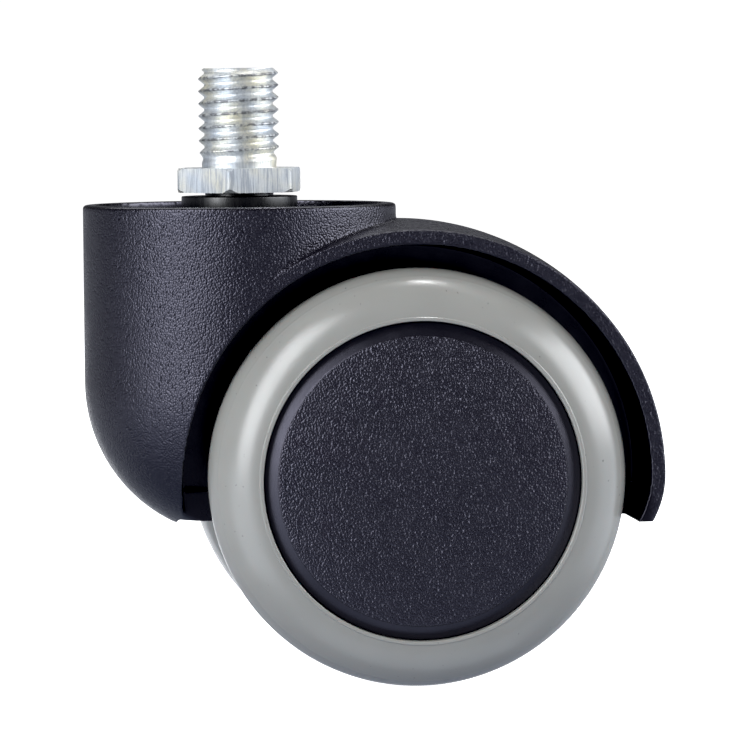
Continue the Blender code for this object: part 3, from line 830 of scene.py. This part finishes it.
def build_axle_pieces(label, side, steel):
    """The washers, the sleeve and the clip of one wheel, at the places of their CAD nodes."""
    bore = AXLE_RADIUS + BORE_GAP
    for part, outer in (("inner_washer", INNER_WASHER), ("outer_washer", OUTER_WASHER)):
        low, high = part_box(f"{part}_{label}")
        corners = mirrored(plain_ring(bore, outer, *ends(low, high), 0.12 * MM), side)
        ring_piece(f"{part}_ring_{label}", corners, steel, "housing", "bright_steel", f"{part}_{label}")
    low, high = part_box(f"hub_sleeve_{label}")
    corners = mirrored(plain_ring(bore, HUB_BORE - 0.02 * MM, *ends(low, high), 0.2 * MM), side)
    name, node = f"bearing_sleeve_{label}", f"hub_sleeve_{label}"
    ring_piece(name, corners, steel, f"wheel_{label}", "bright_steel", node)
    low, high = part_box(f"axle_clip_{label}")
    start, end = ends(low, high)
    corners = [
        (bore, end - CLIP_SHEET, 0.05 * MM),
        (CLIP_BEND, start, 0.3 * MM),
        (CLIP_RADIUS, start, 0.15 * MM),
        (CLIP_RADIUS, start + CLIP_SHEET, 0.15 * MM),
        (CLIP_BEND, start + CLIP_SHEET, 0.3 * MM),
        (bore, end, 0.05 * MM),
    ]
    clip = mirrored(corners, side)
    ring_piece(f"retaining_clip_{label}", clip, steel, "housing", "bright_steel", f"axle_clip_{label}")


def build_axle(steel):
    chamfer = 0.4 * MM
    corners = [
        (0, -AXLE_HALF, 0),
        (AXLE_RADIUS, -AXLE_HALF, chamfer),
        (AXLE_RADIUS, AXLE_HALF, chamfer),
        (0, AXLE_HALF, 0),
    ]
    bm = moved(turned(filleted(corners, False), ROUND, "Y"), AXLE)
    return finish_piece(new_object("axle_pin", bm), steel, "housing", "bright_steel", "axle")


def build_bush(material):
    """The sleeve round the stem's pin, with a collar on the boss and a neck up to the hexagon."""
    collar_low = SOCKET_BOSS_TOP_Z + 0.05 * MM
    collar_top = bush_high.z - 0.28 * MM
    neck_top = -HEX_THICKNESS - 0.04 * MM
    bore = PIN_RADIUS + BORE_GAP
    corners = [
        (bore, bush_low.z, 0.2 * MM),
        (BUSH_RADIUS, bush_low.z, 0.3 * MM),
        (BUSH_RADIUS, collar_low, 0.05 * MM),
        (BUSH_COLLAR, collar_low, 0.1 * MM),
        (BUSH_COLLAR, collar_top, 0.12 * MM),
        (BUSH_NECK, collar_top, 0.08 * MM),
        (BUSH_NECK, neck_top, 0.05 * MM),
        (bore, neck_top, 0.05 * MM),
    ]
    slot, node = "bush_plastic", "stem_bush"
    return ring_piece("stem_collar", corners, material, "housing", slot, node, "Z", (0, 0, 0))


def build_thrust_pad(steel):
    low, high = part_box("thrust_pad")
    edge = 0.2 * MM
    corners = [(0, low.z, 0), (high.x, low.z, edge), (high.x, high.z, edge), (0, high.z, 0)]
    pad = new_object("thrust_disc", turned(filleted(corners, False), ROUND))
    return finish_piece(pad, steel, "housing", "bright_steel", "thrust_pad")


def build_snap_ring(steel):
    """The split ring in the pin's groove, of round wire pressed flat."""
    low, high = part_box("stem_snap_ring")
    inner, outer = GROOVE_RADIUS + 0.1 * MM, -low.x
    section = filleted(plain_ring(inner, outer, low.z, high.z, 0.15 * MM), True)
    steps = 80
    loops = []
    for step in range(steps + 1):
        angle = SNAP_RING_OPENING / 2 + (2 * math.pi - SNAP_RING_OPENING) * step / steps
        across, along = math.cos(angle), math.sin(angle)
        loops.append([(radius * across, radius * along, height) for radius, height in section])
    ring = new_object("snap_ring", bridged(loops))
    return finish_piece(ring, steel, "stem", "bright_steel", "stem_snap_ring")


# Materials


class Nodes:
    """A small builder for one material's nodes."""

    def __init__(self, name):
        self.material = bpy.data.materials.new(name)
        self.material.use_nodes = True
        self.tree = self.material.node_tree
        self.shader = self.tree.nodes["Principled BSDF"]
        self.place = self.tree.nodes.new("ShaderNodeTexCoord").outputs["Object"]

    def new(self, kind, **settings):
        node = self.tree.nodes.new(kind)
        for name, value in settings.items():
            setattr(node, name, value)
        return node

    def link(self, value, socket):
        if isinstance(value, bpy.types.NodeSocket):
            self.tree.links.new(value, socket)
        else:
            socket.default_value = value

    def math(self, operation, first, second=0.0, clamp=False):
        node = self.new("ShaderNodeMath", operation=operation, use_clamp=clamp)
        self.link(first, node.inputs[0])
        self.link(second, node.inputs[1])
        return node.outputs[0]

    def stretched(self, scale):
        node = self.new("ShaderNodeMapping")
        self.link(self.place, node.inputs["Vector"])
        node.inputs["Scale"].default_value = scale
        return node.outputs["Vector"]

    def noise(self, size, detail=2.0, place=None, roughness=0.5):
        """Noise whose features are about this size, in metres."""
        node = self.new("ShaderNodeTexNoise")
        self.link(place or self.place, node.inputs["Vector"])
        node.inputs["Scale"].default_value = 1 / size
        node.inputs["Detail"].default_value = detail
        node.inputs["Roughness"].default_value = roughness
        return node.outputs["Fac"]

    def cells(self, size):
        """The distance from the nearest of many scattered points, which are about this far apart."""
        node = self.new("ShaderNodeTexVoronoi")
        self.link(self.place, node.inputs["Vector"])
        node.inputs["Scale"].default_value = 1 / size
        return node.outputs["Distance"]

    def remap(self, value, low, high, to_low, to_high):
        node = self.new("ShaderNodeMapRange")
        self.link(value, node.inputs["Value"])
        range_ends = {"From Min": low, "From Max": high, "To Min": to_low, "To Max": to_high}
        for name, number in range_ends.items():
            node.inputs[name].default_value = number
        return node.outputs["Result"]

    def ramp(self, value, *stops):
        """A colour ramp through (position, colour) stops."""
        node = self.new("ShaderNodeValToRGB")
        elements = node.color_ramp.elements
        while len(elements) < len(stops):
            elements.new(0.5)
        for element, (position, colour) in zip(elements, stops):
            element.position = position
            element.color = (*colour, 1)
        self.link(value, node.inputs["Fac"])
        return node.outputs["Color"]

    def blend(self, share, first, second):
        node = self.new("ShaderNodeMix", data_type="RGBA")
        self.link(share, node.inputs["Factor"])
        for value, socket in ((first, node.inputs["A"]), (second, node.inputs["B"])):
            self.link(value if isinstance(value, bpy.types.NodeSocket) else (*value, 1), socket)
        return node.outputs["Result"]

    def bump(self, height, depth, strength=1.0):
        """A bump of that depth in metres, for a height from 0 to 1."""
        node = self.new("ShaderNodeBump")
        self.link(height, node.inputs["Height"])
        self.link(strength, node.inputs["Strength"])
        node.inputs["Distance"].default_value = depth
        return node.outputs["Normal"]

    def finish(self, colour, roughness, normal, **constants):
        self.link(colour, self.shader.inputs["Base Color"])
        self.link(roughness, self.shader.inputs["Roughness"])
        self.link(normal, self.shader.inputs["Normal"])
        for name, value in constants.items():
            self.shader.inputs[name.replace("_", " ")].default_value = value
        return self.material


def grained(nodes, size, depth, strength):
    """The height and the bump of a spark-eroded mould's grain: small domes, over broader waves."""
    from_centre = nodes.cells(size)
    dome = nodes.math("SUBTRACT", 1.0, nodes.math("MULTIPLY", from_centre, from_centre), clamp=True)
    fine = nodes.noise(size * 0.8, 2.0)
    waves = nodes.noise(size * 7, 2.0)
    height = nodes.math("ADD", dome, nodes.math("MULTIPLY", fine, 0.5))
    height = nodes.math("ADD", height, nodes.math("MULTIPLY", waves, 0.2))
    return height, nodes.bump(height, depth, strength)


def moulded_black(
    name,
    dark,
    light,
    grain_size,
    grain_depth,
    roughness,
    smooth_roughness=None,
    smooth_share=1,
    shine=0.5,
):
    """Black plastic with a mould grain, between two colours, with the grain's pits darker as painted
    shade. With a smooth roughness, it is smooth where the grain attribute is 0, and its colour there is
    that share of the dark one. Shine is the strength of its mirror light, where 0.5 is that of common
    plastics."""
    nodes = Nodes(name)
    strength = 1.0
    cloud = nodes.noise(9 * MM, 3.0)
    worn = nodes.remap(nodes.noise(2.5 * MM, 4.0), 0.3, 0.7, roughness - 0.04, roughness + 0.05)
    if smooth_roughness is not None:
        mask = nodes.new("ShaderNodeAttribute", attribute_name="grain").outputs["Fac"]
        strength = nodes.remap(mask, 0, 1, 0.04, 1)
        polish = nodes.remap(mask, 0, 1, smooth_roughness - roughness, 0)
        worn = nodes.math("ADD", worn, polish)
    height, normal = grained(nodes, grain_size, grain_depth, strength)
    # The grain's pits are painted darker than its domes, as painted shade in the hollows; the cloud adds
    # a random tone.
    raised = nodes.math("MULTIPLY", height, 0.45)
    tone_and_pit_shade = nodes.math("ADD", raised, nodes.math("MULTIPLY", cloud, 0.35))
    colour = nodes.ramp(tone_and_pit_shade, (0.3, dark), (0.75, light))
    if smooth_roughness is not None:
        # Where the grain attribute is 0 the colour drops to that share of the dark one; on the housing
        # this is painted shade inside the cup.
        colour = nodes.blend(mask, [channel * smooth_share for channel in dark], colour)
    tint = (0.82, 0.80, 1.0, 1)
    return nodes.finish(colour, worn, normal, Specular_Tint=tint, Specular_IOR_Level=shine)


def housing_plastic():
    return moulded_black(
        "housing_grain",
        dark=(0.0035, 0.0032, 0.0055),
        light=(0.0055, 0.005, 0.008),
        grain_size=0.25 * MM,
        grain_depth=0.074 * MM,
        roughness=0.27,
        smooth_roughness=0.24,
        # Half the dark colour on every face without grain, the rim's edge included: painted shade inside
        # the cup.
        smooth_share=0.5,
    )


def arch_shaded_plastic():
    """The housing's plastic inside the wheel arch: a darker, less shiny copy of the housing's black, as
    painted shade in the arch.
    """
    return moulded_black(
        "housing_smooth_painted_shade",
        dark=(0.0018, 0.0016, 0.0028),
        light=(0.0022, 0.002, 0.0033),
        grain_size=0.25 * MM,
        grain_depth=0.003 * MM,
        roughness=0.24,
        shine=0.3,
    )


def cap_plastic():
    return moulded_black(
        "cap_grain",
        dark=(0.0047, 0.0044, 0.0068),
        light=(0.0072, 0.0066, 0.0097),
        grain_size=0.25 * MM,
        grain_depth=0.086 * MM,
        roughness=0.26,
        smooth_roughness=0.34,
        smooth_share=0.9,
    )


def core_plastic():
    return moulded_black(
        "wheel_grain",
        dark=(0.007, 0.007, 0.008),
        light=(0.011, 0.011, 0.013),
        grain_size=0.6 * MM,
        grain_depth=0.02 * MM,
        roughness=0.45,
    )


def tyre_rubber():
    """Cast polyurethane: semi-gloss, a little light passing through, rare dark specks and pale scuffs."""
    nodes = Nodes("tyre_polyurethane")
    cloud = nodes.noise(8 * MM, 2.0)
    base = nodes.ramp(cloud, (0.35, (0.197, 0.195, 0.183)), (0.65, (0.208, 0.206, 0.193)))
    speck = nodes.remap(nodes.noise(0.45 * MM, 1.0), 0.76, 0.80, 0, 0.7)
    scuff_place = nodes.stretched((1, 0.3, 0.5))
    scuff = nodes.remap(nodes.noise(0.7 * MM, 5.0, scuff_place), 0.72, 0.82, 0, 0.12)
    colour = nodes.blend(scuff, nodes.blend(speck, base, (0.07, 0.07, 0.065)), (0.34, 0.34, 0.33))
    fine = nodes.noise(0.15 * MM, 2.0)
    ripple = nodes.noise(2.2 * MM, 2.0)
    fine = nodes.math("MULTIPLY", fine, 0.25)
    height = nodes.math("ADD", fine, nodes.math("MULTIPLY", ripple, 0.75))
    normal = nodes.bump(height, 0.016 * MM)
    roughness = nodes.remap(nodes.noise(1.6 * MM, 4.0), 0.3, 0.7, 0.2, 0.26)
    return nodes.finish(colour, roughness, normal, Subsurface_Weight=0.05, Subsurface_Scale=0.002)


def plated_zinc():
    """Bright zinc: clear on the thread, with dark worn crests, and brushed on the hexagon."""
    nodes = Nodes("zinc_plating")
    parts = nodes.new("ShaderNodeSeparateXYZ")
    nodes.link(nodes.place, parts.inputs["Vector"])
    on_thread = nodes.remap(parts.outputs["Z"], -0.02 * MM, 0.06 * MM, 0, 1)
    tint = nodes.ramp(
        nodes.noise(3.2 * MM, 2.0),
        (0.3, (0.58, 0.62, 0.67)),
        (0.5, (0.67, 0.68, 0.67)),
        (0.7, (0.73, 0.70, 0.58)),
    )
    streak = nodes.noise(0.24 * MM, 3.0, nodes.stretched((1, 1, 0.06)), 0.6)
    fleck = nodes.noise(0.18 * MM, 3.0)
    stained = nodes.remap(streak, 0.46, 0.58, 0.0, 0.8)
    stained = nodes.math("MULTIPLY", stained, nodes.remap(on_thread, 0, 1, 1.0, 0.55))
    colour = nodes.blend(stained, tint, (0.36, 0.385, 0.42))
    dulled = nodes.remap(on_thread, 0, 1, 0.24, 0)
    colour = nodes.blend(dulled, colour, (0.22, 0.235, 0.26))
    across = nodes.new("ShaderNodeVectorMath", operation="LENGTH")
    nodes.link(nodes.stretched((1, 1, 0)), across.inputs[0])
    crest_start, crest_end = THREAD_CREST - 0.22 * MM, THREAD_CREST - 0.06 * MM
    crest = nodes.remap(across.outputs["Value"], crest_start, crest_end, 0, 1)
    patches = nodes.remap(nodes.noise(0.6 * MM, 4.0), 0.42, 0.58, 0, 0.8)
    worn = nodes.math("MULTIPLY", nodes.math("MULTIPLY", crest, patches), on_thread)
    colour = nodes.blend(worn, colour, (0.10, 0.10, 0.11))
    brushed = nodes.math("MULTIPLY", streak, nodes.remap(on_thread, 0, 1, 1.0, 0.25))
    height = nodes.math("ADD", brushed, nodes.math("MULTIPLY", fleck, 0.3))
    normal = nodes.bump(height, 0.03 * MM)
    roughness = nodes.remap(on_thread, 0, 1, 0.7, 0.48)
    roughness = nodes.math("ADD", roughness, nodes.remap(fleck, 0.3, 0.7, -0.04, 0.05))
    return nodes.finish(colour, roughness, normal, Metallic=0.95)


def turned_steel():
    nodes = Nodes("turned_steel")
    cloud = nodes.noise(2 * MM, 3.0)
    colour = nodes.ramp(cloud, (0.3, (0.50, 0.51, 0.52)), (0.7, (0.58, 0.58, 0.59)))
    lines = nodes.noise(0.08 * MM, 2.0, nodes.stretched((1, 1, 0.2)))
    normal = nodes.bump(lines, 0.006 * MM)
    roughness = nodes.remap(cloud, 0.3, 0.7, 0.22, 0.36)
    return nodes.finish(colour, roughness, normal, Metallic=1.0)


def bush_plastic():
    nodes = Nodes("bush_nylon")
    streak = nodes.noise(0.5 * MM, 3.0, nodes.stretched((1, 1, 0.15)))
    colour = nodes.ramp(streak, (0.3, (0.003, 0.003, 0.004)), (0.7, (0.006, 0.006, 0.007)))
    normal = nodes.bump(streak, 0.015 * MM)
    roughness = nodes.remap(streak, 0.3, 0.7, 0.22, 0.34)
    return nodes.finish(colour, roughness, normal, Specular_IOR_Level=0.45)


# Stage


def floor_material():
    """Pale and evenly lit from within, as a light table is, so that only a soft contact shadow shows."""
    nodes = Nodes("pale_floor")
    cloud = nodes.noise(60 * MM, 3.0)
    colour = nodes.ramp(cloud, (0.3, (0.90, 0.90, 0.90)), (0.7, (0.93, 0.93, 0.93)))
    normal = nodes.bump(nodes.noise(0.5 * MM), 0.01 * MM)
    glow = {"Emission_Color": (*WHITE, 1), "Emission_Strength": FLOOR_GLOW}
    return nodes.finish(colour, 0.8, normal, **glow)


def build_stage():
    """A wide round floor under the wheels. Only the camera sees it, so the object keeps its own light."""
    rings = [(radius, FLOOR_Z) for radius in FLOOR_RINGS]
    floor = new_object("studio_floor", turned(rings, 96))
    floor.data.materials.append(floor_material())
    floor.visible_diffuse = False
    floor.visible_glossy = False
    floor.visible_transmission = False
    floor.visible_shadow = False


def fade_edges(light):
    """Lets a light fade to nothing at its edges, as the cloth of a softbox does."""
    light.use_nodes = True
    tree = light.node_tree
    place = tree.nodes.new("ShaderNodeNewGeometry")
    parts = tree.nodes.new("ShaderNodeSeparateXYZ")
    tree.links.new(place.outputs["Parametric"], parts.inputs["Vector"])
    product = tree.nodes.new("ShaderNodeMath")
    product.operation = "MULTIPLY"
    for number, axis in enumerate("XY"):
        offset = tree.nodes.new("ShaderNodeMath")
        offset.operation = "SUBTRACT"
        tree.links.new(parts.outputs[axis], offset.inputs[0])
        offset.inputs[1].default_value = 0.5
        distance = tree.nodes.new("ShaderNodeMath")
        distance.operation = "ABSOLUTE"
        tree.links.new(offset.outputs[0], distance.inputs[0])
        fade = tree.nodes.new("ShaderNodeMapRange")
        fade.interpolation_type = "SMOOTHSTEP"
        tree.links.new(distance.outputs[0], fade.inputs["Value"])
        range_ends = {"From Min": FADE_START, "From Max": FADE_END, "To Min": 1, "To Max": 0}
        for field, value in range_ends.items():
            fade.inputs[field].default_value = value
        tree.links.new(fade.outputs["Result"], product.inputs[number])
    tree.links.new(product.outputs[0], tree.nodes["Emission"].inputs["Strength"])


def add_light(name, azimuth, elevation, width, height, radiance, colour):
    """An even rectangle of light that faces the object and spans these angles, as seen from it."""
    across, up = math.radians(azimuth), math.radians(elevation)
    centre = Vector((AXLE.x / 2, 0, AXLE.z / 2))
    way = Vector((math.sin(across) * math.cos(up), -math.cos(across) * math.cos(up), math.sin(up)))
    light = bpy.data.lights.new(name, "AREA")
    light.shape = "RECTANGLE"
    light.size = 2 * LIGHT_DISTANCE * math.tan(math.radians(width / 2))
    light.size_y = 2 * LIGHT_DISTANCE * math.tan(math.radians(height / 2))
    light.energy = radiance * math.pi * light.size * light.size_y
    light.color = colour
    obj = bpy.data.objects.new(name, light)
    obj.location = centre + way * LIGHT_DISTANCE
    obj.rotation_euler = (-way).to_track_quat("-Z", "Y").to_euler()
    bpy.context.scene.collection.objects.link(obj)
    return light


def build_world():
    """White where the camera looks past the object, and a dim studio for everything else."""
    world = bpy.data.worlds.new("studio")
    world.use_nodes = True
    tree = world.node_tree
    dim = tree.nodes["Background"]
    white = tree.nodes.new("ShaderNodeBackground")
    mix = tree.nodes.new("ShaderNodeMixShader")
    path = tree.nodes.new("ShaderNodeLightPath")
    place = tree.nodes.new("ShaderNodeTexCoord")
    parts = tree.nodes.new("ShaderNodeSeparateXYZ")
    height = tree.nodes.new("ShaderNodeMapRange")
    glow = tree.nodes.new("ShaderNodeValToRGB")
    height.inputs["From Min"].default_value = -1
    while len(glow.color_ramp.elements) < len(STUDIO_GLOW):
        glow.color_ramp.elements.new(0.5)
    for element, (position, colour) in zip(glow.color_ramp.elements, STUDIO_GLOW):
        element.position = position
        element.color = (*colour, 1)
    tree.links.new(place.outputs["Generated"], parts.inputs["Vector"])
    tree.links.new(parts.outputs["Z"], height.inputs["Value"])
    tree.links.new(height.outputs["Result"], glow.inputs["Fac"])
    tree.links.new(glow.outputs["Color"], dim.inputs["Color"])
    white.inputs["Color"].default_value = (*WHITE, 1)
    white.inputs["Strength"].default_value = BACKDROP_STRENGTH
    tree.links.new(path.outputs["Is Camera Ray"], mix.inputs["Fac"])
    tree.links.new(dim.outputs["Background"], mix.inputs[1])
    tree.links.new(white.outputs["Background"], mix.inputs[2])
    tree.links.new(mix.outputs["Shader"], tree.nodes["World Output"].inputs["Surface"])
    bpy.context.scene.world = world


def build_lights():
    for softbox in SOFTBOXES:
        fade_edges(add_light(*softbox))
    add_light(*LAMP)


def build_camera():
    camera = bpy.data.cameras.new("camera")
    camera.sensor_width = CAMERA_SENSOR
    camera.lens = CAMERA_LENS
    camera.clip_start = 0.05
    obj = bpy.data.objects.new("camera", camera)
    yaw = Matrix.Rotation(CAMERA_YAW, 4, "Z")
    pitch = Matrix.Rotation(CAMERA_PITCH, 4, "X")
    roll = Matrix.Rotation(CAMERA_ROLL, 4, "Y")
    upright = Matrix.Rotation(math.pi / 2, 4, "X")
    obj.matrix_world = Matrix.Translation(CAMERA_PLACE) @ yaw @ pitch @ roll @ upright
    bpy.context.scene.collection.objects.link(obj)
    bpy.context.scene.camera = obj


def set_view():
    view = bpy.context.scene.view_settings
    view.view_transform = "Standard"
    view.look = "None"
    view.use_curve_mapping = True
    view.curve_mapping.black_level = [BLACK_POINT] * 3


def main():
    set_view()
    black = housing_plastic()
    arch_shaded_black = arch_shaded_plastic()
    cap_black = cap_plastic()
    core_black = core_plastic()
    steel = turned_steel()
    build_housing(black, arch_shaded_black)
    build_stem(plated_zinc())
    build_bush(bush_plastic())
    build_thrust_pad(steel)
    build_snap_ring(steel)
    build_axle(steel)
    rubber = tyre_rubber()
    for label, side in (("left", -1), ("right", 1)):
        build_core(label, side, core_black)
        build_tread(label, side, rubber)
        build_cap(label, side, cap_black)
        build_axle_pieces(label, side, steel)
    build_stage()
    build_world()
    build_lights()
    build_camera()


main()
